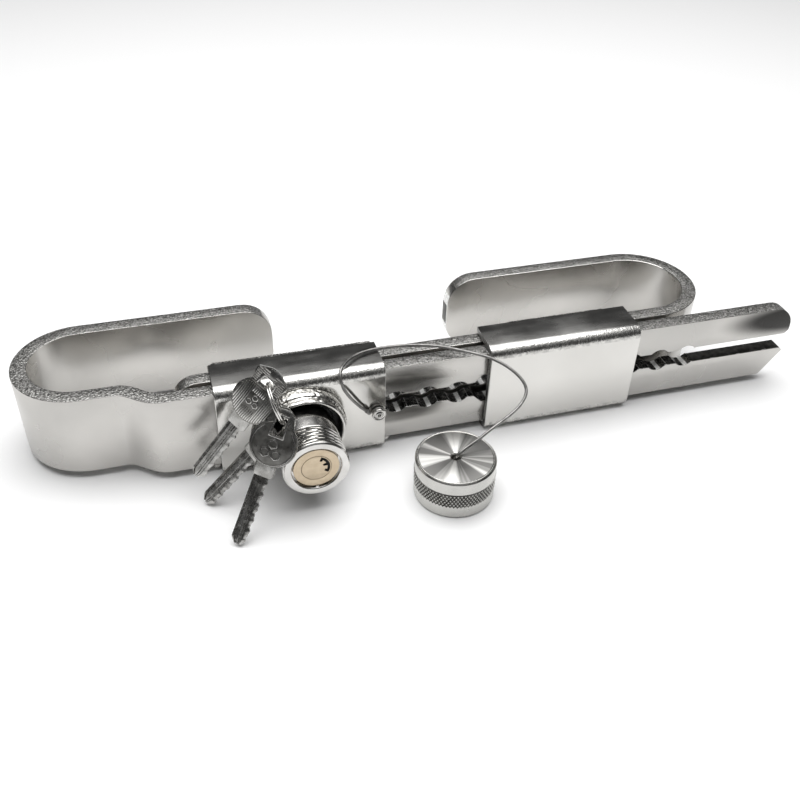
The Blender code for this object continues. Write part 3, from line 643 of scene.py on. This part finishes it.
def build_bead(node):
    """A rippled bead along X, flat against the plate on its -Y side."""
    low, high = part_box(node)
    middle = (low.z + high.z) / 2
    half_z = (high.z - low.z) / 2
    depth = high.y - low.y
    rows = []
    count = int((high.x - low.x) / BEAD_STEP)
    for i in range(count + 1):
        x = low.x + (high.x - low.x) * i / count
        end = min(1.0, (min(x - low.x, high.x - x) + BEAD_TIP) / BEAD_END) ** 0.5
        row = []
        for j in range(BEAD_ROUND + 1):
            angle = math.pi / 2 - math.pi * j / BEAD_ROUND
            ripple = 0.5 + 0.5 * math.cos(2 * math.pi * (x / RIPPLE + RIPPLE_LAG * math.cos(angle)))
            at = (x, angle, middle)
            lump = noise.noise(Vector([scale * value for scale, value in zip(LUMP_SCALE, at)]))
            swell = end * (BEAD_SWELL + RIPPLE_SWELL * ripple + LUMP_SWELL * lump)
            y = low.y + depth * swell * math.cos(angle)
            row.append(Vector((x, y, middle + half_z * swell * math.sin(angle))))
        rows.append(row)
    add_piece("bead_" + node, skin("bead_" + node, rows), "weld", BODY_OF[node], (node,), 70)


# ---------------------------------------------------------------- lock

KEY_AXIS = Vector((0, -1, 0))
FACING_KEY = Matrix(((1, 0, 0, 0), (0, 0, -1, 0), (0, 1, 0, 0), (0, 0, 0, 1)))   # plane normal towards -Y
LOCK_CENTRE = Vector((0, 0, JOINTS["key_turn"]["pos_m"][2]))
FLANGE_R, FLANGE_T = 18.2, 2.0
RECESS_R, FACE_R, PLUG_R = 13.6, 12.5, 8.1
THREAD_TOP, THREAD_LOW = 53.2, 40.2
THREAD_PITCH, THREAD_ROOT, THREAD_DEPTH = 2.75, 16.4, 1.5
THREAD_FADE = 0.9                # height over which the thread runs out at each end
CREST_GAIN = 1.35                # flattens the thread's crests
NECK_R, PLUG_FLOOR, RECESS_FLOOR = 17.4, 22.5, 50.8
INDEX_HEIGHT, INDEX_LENGTH = 53.2, 3.0
INDEX_HALF = (0.8, 0.45)
CENTRE_R = 0.05                  # radius at which a turned end closes


def in_metres(points):
    return [(r * MM, h * MM) for r, h in points]


def thread(angle, radius, height):
    """Radius of a right-hand thread between the flange and the neck."""
    h = height / MM
    if radius > (THREAD_ROOT + 0.2) * MM or not THREAD_LOW < h < THREAD_TOP:
        return radius
    fade = min(1.0, (THREAD_TOP - h) / THREAD_FADE, (h - THREAD_LOW) / THREAD_FADE)
    turn = h / THREAD_PITCH - angle / (2 * math.pi)
    crest = min(1.0, CREST_GAIN * (0.5 - 0.5 * math.cos(2 * math.pi * turn)))
    return radius + THREAD_DEPTH * crest * fade * MM


def from_key_axis(face):
    """Distance of a face from the key's axis, in millimetres."""
    return (face.center - LOCK_CENTRE).xz.length / MM


def thread_finish(face):
    # the thread's roots get painted shade
    in_groove = THREAD_ROOT - 0.2 < from_key_axis(face) < THREAD_ROOT + THREAD_DEPTH / 2
    return "painted_groove_shade" if in_groove and THREAD_LOW < -face.center.y / MM < THREAD_TOP else None


def build_lock_body():
    low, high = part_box("lock_body")
    front, back = -low.y / MM, -high.y / MM
    under = front - FLANGE_T
    bore = PLUG_R + 0.3
    inside = soften([(CENTRE_R, PLUG_FLOOR), (bore, PLUG_FLOOR), (bore, RECESS_FLOOR),
                     (RECESS_R, RECESS_FLOOR), (RECESS_R, front - 0.5), (RECESS_R + 0.6, front),
                     (FLANGE_R - 0.9, front), (FLANGE_R, front - 0.9), (FLANGE_R, under + 0.6),
                     (FLANGE_R - 0.6, under), (THREAD_ROOT, under)], 0.25)
    steps = int((THREAD_TOP - THREAD_LOW) / (THREAD_PITCH / 10))
    ridges = [(THREAD_ROOT, THREAD_TOP - (THREAD_TOP - THREAD_LOW) * i / steps) for i in range(steps + 1)]
    outside = soften([(THREAD_ROOT, THREAD_LOW - 0.1), (NECK_R, THREAD_LOW - 0.5), (NECK_R, back + 0.9),
                      (NECK_R - 0.9, back), (CENTRE_R, back)], 0.3)
    mesh = lathe("lock_barrel", in_metres(inside + ridges + outside), LOCK_CENTRE, KEY_AXIS, 120, thread)
    add_piece("lock_barrel", mesh, "bright_steel", "plunger", ("lock_body",), extra=("painted_groove_shade",))
    paint(mesh, ("bright_steel", "painted_groove_shade"), thread_finish)
    # A small index block in the gap round the face
    place = Matrix.Translation(LOCK_CENTRE + KEY_AXIS * INDEX_HEIGHT * MM) @ FACING_KEY
    half_width, half_depth = INDEX_HALF
    outline = strip(-half_width, half_width, -(RECESS_R + FACE_R) / 2, half_depth)
    block = slab("index_block", [outline], INDEX_LENGTH, 0.15, place)
    add_piece("index_block", block, "bright_steel", "plunger")


KEYWAY_OUTER, KEYWAY_INNER = 7.45, 6.0
KEYWAY_FINGERS = ((60, 4.7, 8), (17, 3.9, 10), (-26, 4.9, 8))    # middle, reach and half angle of each
PLUG_GAP = 0.12                  # between the plug and the ring of the face
FACE_T, PLUG_T = 3.0, 1.2
DEPTH_FRONT, DEPTH_BACK = 1.25, 1.75    # a black disc of painted shade behind the keyway, below the face
SHELL_FRONT, SHELL_WALL = 1.8, 1.1


def keyway_outline():
    """A curved slot whose inner edge has three fingers."""
    first, last = KEYWAY_FINGERS[0], KEYWAY_FINGERS[-1]
    edge = arc(0, 0, KEYWAY_OUTER, last[0] - last[2], first[0] + first[2], 16)
    for i, (middle, reach, half) in enumerate(KEYWAY_FINGERS):
        edge += arc(0, 0, reach, middle + half, middle - half * reach / KEYWAY_INNER, 3)
        if i + 1 < len(KEYWAY_FINGERS):
            below = KEYWAY_FINGERS[i + 1]
            edge += arc(0, 0, KEYWAY_INNER, middle - half, below[0] + below[2], 4)
    return edge


def plug_finish(face):
    """Black painted shade on the walls in the keyway."""
    return "rubber" if abs(face.normal.y) < 0.6 and from_key_axis(face) < PLUG_R - 0.4 else None


def build_face():
    """The face's ring, and the plug in it: a thin front with the keyway, a black disc of painted shade behind it,
    and a tube.
    """
    face = -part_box("lock_face")[0].y / MM
    end = -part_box("key_plug")[1].y / MM
    bore = PLUG_R + PLUG_GAP
    corners = [(bore, face), (FACE_R, face), (FACE_R, face - FACE_T), (bore, face - FACE_T)]
    profile = soften(corners, 0.15, closed=True) + [(bore, face - 0.15)]
    add_piece("face_ring", lathe("face_ring", in_metres(profile), LOCK_CENTRE, KEY_AXIS), "brass",
              "plunger", ("lock_face",))
    place = Matrix.Translation(LOCK_CENTRE + KEY_AXIS * (face - PLUG_T / 2) * MM) @ FACING_KEY
    front = slab("plug_front", [circle(PLUG_R - 0.1), keyway_outline()], PLUG_T, 0.08, place)
    add_piece("plug_front", front, "brass", "key_cylinder", ("key_plug",), extra=("rubber",))
    paint(front, ("brass", "rubber"), plug_finish)
    outer, inner, top = PLUG_R - 0.1, PLUG_R - 0.1 - SHELL_WALL, face - SHELL_FRONT
    profile = [(outer, top), (outer, end), (inner, end), (inner, top), (outer, top)]
    add_piece("plug_shell", lathe("plug_shell", in_metres(profile), LOCK_CENTRE, KEY_AXIS), "brass",
              "key_cylinder")
    # a black disc of painted shade behind the keyway
    rim, top, floor = PLUG_R - 0.15, face - DEPTH_FRONT, face - DEPTH_BACK
    profile = [(CENTRE_R, top), (rim, top), (rim, floor), (CENTRE_R, floor)]
    add_piece("keyway_painted_shade", lathe("keyway_painted_shade", in_metres(profile), LOCK_CENTRE, KEY_AXIS), "rubber",
              "key_cylinder")


COLLAR_BORE, COLLAR_RIM = 20.9, 22.6
HAMMER_DEPTH = 0.35
HAMMER_SCALE = (4, 300)          # marks round the collar, and along it


def hammered(angle, radius, height):
    """Radius of the collar's uneven outer side."""
    if radius < (COLLAR_RIM + 0.2) * MM:
        return radius
    around, along = HAMMER_SCALE
    at = Vector((around * math.cos(angle), around * math.sin(angle), height * along))
    return radius - HAMMER_DEPTH * MM * abs(noise.noise(at))


def collar_finish(face):
    """Rough metal outside, and a bore in black painted shade."""
    away = from_key_axis(face)
    if away > COLLAR_RIM + 0.3:
        return "weld"
    return "rubber" if away < COLLAR_BORE + 0.15 else None


def build_collar():
    low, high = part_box("lock_collar")
    front, wall, outer = -low.y / MM, -high.y / MM, (high.x - low.x) / 2 / MM
    rim = COLLAR_RIM
    profile = soften([(COLLAR_BORE, wall), (outer - 0.2, wall), (outer, wall + 0.8), (outer, front - 6.2),
                      (outer - 0.5, front - 4.6), (rim + 0.6, front - 4.0), (rim + 0.5, front - 2.6),
                      (rim + 0.8, front - 1.8), (rim + 0.6, front - 0.9), (rim - 0.1, front),
                      (COLLAR_BORE + 0.7, front), (COLLAR_BORE, front - 0.8)], 0.3, closed=True)
    mesh = lathe("collar_ring", in_metres(profile + profile[:1]), LOCK_CENTRE, KEY_AXIS, 144, hammered)
    add_piece("collar_ring", mesh, "bright_steel", "left_arm", ("lock_collar",), extra=("weld", "rubber"))
    paint(mesh, ("bright_steel", "weld", "rubber"), collar_finish)


ROD_R, ROD_HEAD_R = 4.4, 7.5
ROD_HEAD_T, ROD_RIM_T = 3.0, 1.0


def build_rod():
    """The fixed guide rod, its domed head behind the back plate."""
    low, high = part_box("guide_rod")
    tip, head = low.y / MM, high.y / MM
    under = head - ROD_HEAD_T
    profile = soften([(CENTRE_R, tip), (ROD_R - 0.6, tip), (ROD_R, tip + 0.6), (ROD_R, under),
                      (ROD_HEAD_R, under), (ROD_HEAD_R, head - ROD_RIM_T), (6.2, head - 0.1),
                      (CENTRE_R, head)], 0.35)
    mesh = lathe("rod_turned", in_metres(profile), LOCK_CENTRE, Vector((0, 1, 0)), 64)
    add_piece("rod_turned", mesh, "bright_steel", "left_arm", ("guide_rod",))


# ---------------------------------------------------------------- dust cap

CAP_BORE, CAP_ROOF, CAP_HOLE = 18.7, 20.0, 2.5
CAP_TEETH, CAP_ROWS = 70, 3.0    # diamonds round the knurl and up it
TOOTH_STEPS = 8
KNURL = (7.6, 16.7)
KNURL_EDGE = 0.2                 # plain strip at each edge of the knurl
KNURL_DEPTH, KNURL_STEPS = 0.75, 40
KNURL_LEAST_R = 22.8             # only the band itself is this wide
TURNED_R = 21.0                  # the cap's turned top, inside its raised edge


def fold(t):
    return abs(2 * (t - math.floor(t)) - 1)


def knurl(angle, radius, height):
    low, high = KNURL
    h = height / MM
    if not low + KNURL_EDGE < h < high - KNURL_EDGE or radius < KNURL_LEAST_R * MM:
        return radius
    around = CAP_TEETH * angle / (2 * math.pi)
    up = CAP_ROWS * (h - low) / (high - low)
    groove = max(fold(around + up), fold(around - up))
    return radius - KNURL_DEPTH * groove * MM


def build_cap():
    low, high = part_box("dust_cap")
    centre = Vector(((low.x + high.x) / 2, (low.y + high.y) / 2, 0))
    outer, top = (high.x - low.x) / 2 / MM, high.z / MM
    plain = outer - 0.3
    knurl_low, knurl_high = KNURL
    first, run = knurl_high - KNURL_EDGE, knurl_high - knurl_low - 2 * KNURL_EDGE
    band = [(outer, first - run * i / KNURL_STEPS) for i in range(KNURL_STEPS + 1)]
    upper = soften([(CAP_HOLE, CAP_ROOF), (CAP_HOLE, top - 0.9), (CAP_HOLE + 0.8, top - 0.1),
                    (TURNED_R - 0.4, top), (TURNED_R - 0.1, top - 0.35), (TURNED_R + 0.5, top - 0.35),
                    (TURNED_R + 0.7, top), (plain, top - 1.0), (plain, knurl_high + 0.3)], 0.2)
    lower = soften([(plain, knurl_low - 0.3), (plain, 0.7), (outer - 1.0, 0), (CAP_BORE + 0.5, 0),
                    (CAP_BORE, 0.5), (CAP_BORE, CAP_ROOF), (CAP_HOLE, CAP_ROOF)], 0.2)
    mesh = lathe("cap_shell", in_metres(upper + band + lower), centre, Vector((0, 0, 1)),
                 CAP_TEETH * TOOTH_STEPS, knurl)
    finishes = ("turned", "turned_face", "painted_groove_shade")
    add_piece("cap_shell", mesh, finishes[0], "cap_swivel", ("dust_cap",), 25, finishes[1:])

    def finish(face):
        away = (face.center - centre).to_2d().length / MM
        if face.normal.z > 0.9 and away < TURNED_R:
            return "turned_face"
        # the knurl's grooves get painted shade
        in_band = knurl_low + 0.3 < face.center.z / MM < knurl_high - 0.3
        return "painted_groove_shade" if in_band and 20 < away < outer - KNURL_DEPTH / 2 else None

    paint(mesh, finishes, finish)


# ---------------------------------------------------------------- rivet, ring and keys

def build_rivet():
    low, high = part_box("lanyard_rivet")
    centre = Vector(((low.x + high.x) / 2, 0, (low.z + high.z) / 2))
    tip, foot = -low.y / MM, -high.y / MM
    profile = soften([(CENTRE_R, tip - 1.6), (0.8, tip - 1.6), (1.0, tip - 0.2), (1.4, tip), (1.9, tip - 0.3),
                      (2.5, tip - 0.75), (3.2, tip - 0.6), (3.6, tip - 0.2), (4.1, tip - 0.6),
                      (4.2, tip - 1.9), (2.0, tip - 1.9), (2.0, foot), (CENTRE_R, foot)], 0.2)
    mesh = lathe("rivet_head", in_metres(profile), centre, KEY_AXIS, 48)
    add_piece("rivet_head", mesh, "bright_steel", "left_arm", ("lanyard_rivet",))
    refine("cable_eye", "eye_loop", "cable", 0.3, 2)
    refine("cable_ferrule", "ferrule_crimp", "cable", 0.25, 2)


def flat_frame(node):
    """Centre and largest-face normal of a flat CAD node."""
    mesh = NODES[node].data
    spread = sum(face.area * np.outer(face.normal, face.normal) for face in mesh.polygons)
    _, vectors = np.linalg.eigh(spread)
    points = np.array([v.co for v in mesh.vertices])
    return Vector(points.mean(axis=0)), Vector(vectors[:, 2])


def key_place(node):
    """The key's own frame: origin in its ring hole, +X from tip to bow, +Z out of the face towards -Y."""
    hinge = Vector(JOINTS[node + "_swing"]["pos_m"])
    middle, normal = flat_frame(node)
    if normal.y > 0:
        normal = -normal
    along = hinge - middle
    along = (along - normal * along.dot(normal)).normalized()
    side = normal.cross(along)
    turn = Matrix((along, side, normal)).transposed().to_4x4()
    return Matrix.Translation(hinge) @ turn


RING_TURNS, RING_STEPS = 2, 160
RING_WIRE = (1.05, 0.5)          # wire's half width outwards and half thickness
WIRE_STEPS, WIRE_POWER = 12, 0.6    # its section, and how square that is
RING_INSET = 1.2                 # from the ring's edge to the middle of the wire
RING_RISE, RISE_TURN = 0.56, 0.04    # each turn's offset, and the part of a turn that the step takes


def squared(value):
    return math.copysign(abs(value) ** WIRE_POWER, value)


def build_ring():
    """A split ring: flat wire wound twice."""
    points = np.array([v.co for v in NODES["key_ring"].data.vertices])
    centre = Vector(points.mean(axis=0))
    _, vectors = np.linalg.eigh(np.cov((points - points.mean(axis=0)).T))
    normal = Vector(vectors[:, 0])
    radius = max((Vector(p) - centre).length for p in points) - RING_INSET * MM
    side = normal.orthogonal().normalized()
    cross = normal.cross(side)
    half_width, half_thick = RING_WIRE
    rows = []
    for i in range(RING_STEPS + 1):
        turn = RING_TURNS * i / RING_STEPS
        angle = 2 * math.pi * turn
        rise = RING_RISE * max(-1.0, min(1.0, (turn - 1) / RISE_TURN))
        out = side * math.cos(angle) + cross * math.sin(angle)
        row = []
        for j in range(WIRE_STEPS):
            a = 2 * math.pi * j / WIRE_STEPS
            u = half_width * squared(math.cos(a))
            v = half_thick * squared(math.sin(a))
            row.append(centre + out * (radius + u * MM) + normal * ((rise + v) * MM))
        rows.append(row)
    add_piece("split_ring", skin("split_ring", rows), "bright_steel", "key_bunch", ("key_ring",), 50)


KEY_T, KEY_TIP, BLADE_HALF = 2.4, -70.0, 4.2
KEY_RAISE = 0.9                  # how far the head stands proud of each side of the plate
HEAD_X = -12.5
NECK_HALF = 5.5
BOWS = {                         # upper half of the bow's outline, then its hole's corners
    "faceted": ([(8.6, 0.01), (8.2, 3.2), (4.4, 9.8), (-3.3, 8.4)], (-2.4, 4.4, 2.6, 3.6)),
    "round": ([(6.6, 0.01), (6.3, 3.2), (4.2, 5.8), (-2.2, 7.6)], (-7.8, 3.4, 2.8, 2.8))}


def mirror(upper):
    return upper + [(x, -y) for x, y in reversed(upper)]


def bow_outline(radius, bow):
    """Plate of a key down to the blade: a disc, with the bow round the ring hole."""
    lead = math.degrees(math.asin(min(0.9, bow[-1][1] / radius)))
    disc = arc(HEAD_X, 0, radius, lead + 3, 180 - math.degrees(math.asin(NECK_HALF / radius)), 22)
    neck = [(disc[-1][0] - 6.0, NECK_HALF), (disc[-1][0] - 7.0, BLADE_HALF + 0.3)]
    return mirror(soften(bow, 0.8) + disc + neck)


def hole_outline(corners, margin=0.0):
    low, low_half, high, high_half = corners
    low, high = low - margin, high + margin
    low_half, high_half = low_half + margin, high_half + margin
    outline = [(low, -low_half), (high, -high_half), (high, high_half), (low, low_half)]
    return soften(outline, 0.9, closed=True)


CUT_MEAN, CUT_SWING = 0.5, 0.45
BLADE_ROOT, BLADE_ROWS = -29.0, 44
TIP_LENGTH, TIP_SHARE = 6.0, 0.45    # the tip narrows over this length, to this share of the blade


def cut_depth(x, phase):
    """How far the key's cuts go into the blade's edge at x."""
    wave = math.sin(x * 0.9 + phase) + 0.7 * math.sin(x * 2.1 + 2 * phase)
    return CUT_MEAN + CUT_SWING * max(-1.0, min(1.0, wave))


def blade_mesh(name, place, phase):
    """The blade: a milled channel and a groove down each face, and cuts along one edge."""
    half_t = KEY_T / 2 - 0.05
    face = [(BLADE_HALF, half_t - 0.25), (3.2, half_t), (2.7, 0.35), (1.2, 0.35), (0.8, half_t),
            (0.1, half_t), (-0.4, 0.55), (-1.3, 0.55), (-1.7, half_t)]
    rows = []
    for i in range(BLADE_ROWS + 1):
        x = KEY_TIP + (BLADE_ROOT - KEY_TIP) * i / BLADE_ROWS
        tip = min(1.0, TIP_SHARE + (x - KEY_TIP) / TIP_LENGTH)
        cut = cut_depth(x, phase)
        upper = face + [(-BLADE_HALF + 1.3 + cut, half_t), (-BLADE_HALF + cut, half_t - 0.45)]
        section = upper + [(y, -z) for y, z in reversed(upper)]
        rows.append([Vector((x, y * tip, z * (0.6 + 0.4 * tip))) * MM for y, z in section])
    mesh = skin(name, rows)
    mesh.transform(place)
    return mesh


FRAME_IN, FRAME_OUT = 0.05, 0.95    # a frame's edges, from the edge of the ring hole
FRAME_RAISE = 0.15
RELIEF_T, RELIEF_BEVEL, RELIEF_LIFT = 0.5, 0.1, 0.05
NOTCH = (0.9, 0.7)               # the head's notch passes the ring hole by this much, along and across


def head_outline(radius, kind):
    """The raised disc, cut off straight at the bow, or notched round the ring hole."""
    bow, (hole_low, low_half, _, high_half) = BOWS[kind]
    if kind == "faceted":
        stop = math.degrees(math.acos((bow[-1][0] - HEAD_X) / radius))
        return arc(HEAD_X, 0, radius, stop, 360 - stop, 60)
    along, across = NOTCH
    stop = math.degrees(math.asin((high_half + along) / radius))
    foot, half = hole_low - along, low_half + across
    return arc(HEAD_X, 0, radius, stop, 360 - stop, 60) + [(foot, -half), (foot, half)]


def build_key(node, radius, kind, phase):
    """A key: plate with its ring hole, milled blade, and on both faces a raised head, frame and pattern."""
    place, body = key_place(node), BODY_OF[node]
    bow, corners = BOWS[kind]
    faceted = kind == "faceted"
    disc_r, high = radius - 0.5, KEY_T / 2 + KEY_RAISE

    def add_slab(part, outlines, thickness, bevel, slot, height=0.0, replaces=()):
        name = f"{node}_{part}"
        at = place @ Matrix.Translation((0, 0, height * MM))
        add_piece(name, slab(name, outlines, thickness, bevel, at), slot, body, replaces)

    add_slab("bow", [bow_outline(radius, bow), hole_outline(corners)], KEY_T, 0.25, "key_blade", 0.0, (node,))
    add_piece(node + "_blade", blade_mesh(node + "_blade", place, phase), "key_blade", body)
    add_slab("head", [head_outline(disc_r, kind)], 2 * high, 0.3, "dull_key")
    trim = [hole_outline(corners, FRAME_OUT), hole_outline(corners, FRAME_IN)]
    depth = (KEY_T if faceted else 2 * high) + 2 * FRAME_RAISE
    add_slab("frame", trim, depth, 0.15, "bright_steel")
    marks = head_ribs(disc_r) if faceted else raised_pattern(disc_r)
    for side, end in ((1, "front"), (-1, "back")):
        add_slab(f"relief_{end}", marks, RELIEF_T, RELIEF_BEVEL, "bright_steel", side * (high + RELIEF_LIFT))
        if faceted:
            add_slab(f"ribs_{end}", bow_ribs(), RELIEF_T, RELIEF_BEVEL, "bright_steel",
                     side * (KEY_T / 2 + RELIEF_LIFT))


RIB_STEP, RIB_HALF = 1.15, 0.27
RIB_END = -4.2                   # the head's ribs stop here, short of the bow
CLEAR_LENGTH, CLEAR_HALF = 4.6, 4.4    # plain field round the group of rings
SHORTEST_RIB = 1.5


def head_ribs(radius):
    """Fine ribs along the key over its head, round a plain group of rings."""
    marks = []
    reach = radius - 0.7
    count = int(reach / RIB_STEP)
    for i in range(-count, count + 1):
        y = i * RIB_STEP
        run = math.sqrt(reach ** 2 - y * y)
        left, right = HEAD_X - run, min(HEAD_X + run, RIB_END)
        if abs(y) < CLEAR_HALF:
            marks += [strip(left, HEAD_X - CLEAR_LENGTH, y, RIB_HALF),
                      strip(HEAD_X + CLEAR_LENGTH, right, y, RIB_HALF)]
        elif right - left > SHORTEST_RIB:
            marks.append(strip(left, right, y, RIB_HALF))
    return marks + ring_group(HEAD_X, 4.2)


def ring_group(middle, spread):
    """Three six-sided rings round a point."""
    marks = []
    for turn in (0, 120, 240):
        x = middle + spread * 0.55 * math.cos(math.radians(turn))
        y = spread * 0.55 * math.sin(math.radians(turn))
        marks += [circle(spread * 0.46, 6, x, y), circle(spread * 0.3, 6, x, y)]
    return marks


BOW_RIBS, BOW_RIB_LOW, BOW_RIB_W = 8, -2.2, 0.5


def bow_ribs():
    """Short cross ribs on the faceted bow, either side of the ring hole."""
    marks = []
    for i in range(BOW_RIBS):
        x = BOW_RIB_LOW + i * RIB_STEP
        outer = 8.6 if x < 4.2 else 9.4 - (x - 4.2) * 1.6
        inner = 5.6 if x < 3.4 else 2.0
        if outer - inner > 1.0:
            marks += [[(x, side * inner), (x + BOW_RIB_W, side * inner), (x + BOW_RIB_W, side * outer),
                       (x, side * outer)] for side in (1, -1)]
    return marks


RIM_IN, RIM_W, RIM_STOP = 0.6, 0.6, 40    # a raised rim line: inset, width, and where it stops at the bow


def raised_pattern(radius):
    """A raised rim line and a plain group of rings."""
    rim = radius - RIM_IN
    line = arc(HEAD_X, 0, rim, RIM_STOP, 360 - RIM_STOP, 40)
    line += arc(HEAD_X, 0, rim - RIM_W, 360 - RIM_STOP, RIM_STOP, 40)
    return [line, *ring_group(HEAD_X - 3.2, 6.4)]


def build_keys():
    build_key("key_a", 12.6, "faceted", 0.4)
    build_key("key_b", 11.0, "round", 2.1)
    build_key("key_c", 12.6, "round", 4.0)


# ---------------------------------------------------------------- finish

def dress_nodes():
    """Give each CAD node that is still shown its finish."""
    slots = {part["node"]: part["material_slot"] for part in frame["record"]["subparts"]}
    for name, node in NODES.items():
        node.data.materials.clear()
        node.data.materials.append(MATERIALS[slots[name]])
        node.data.shade_smooth()
        node.data.set_sharp_from_angle(angle=math.radians(30))


build_camera()
build_world()
build_materials()
build_floor()
build_light()
build_rivet()
build_cable()
build_bars()
build_channels()
for bead in ("housing_weld_top", "housing_weld_bottom", "guide_weld_top", "guide_weld_bottom"):
    build_bead(bead)
build_lock_body()
build_face()
build_collar()
build_rod()
build_cap()
build_ring()
build_keys()
dress_nodes()
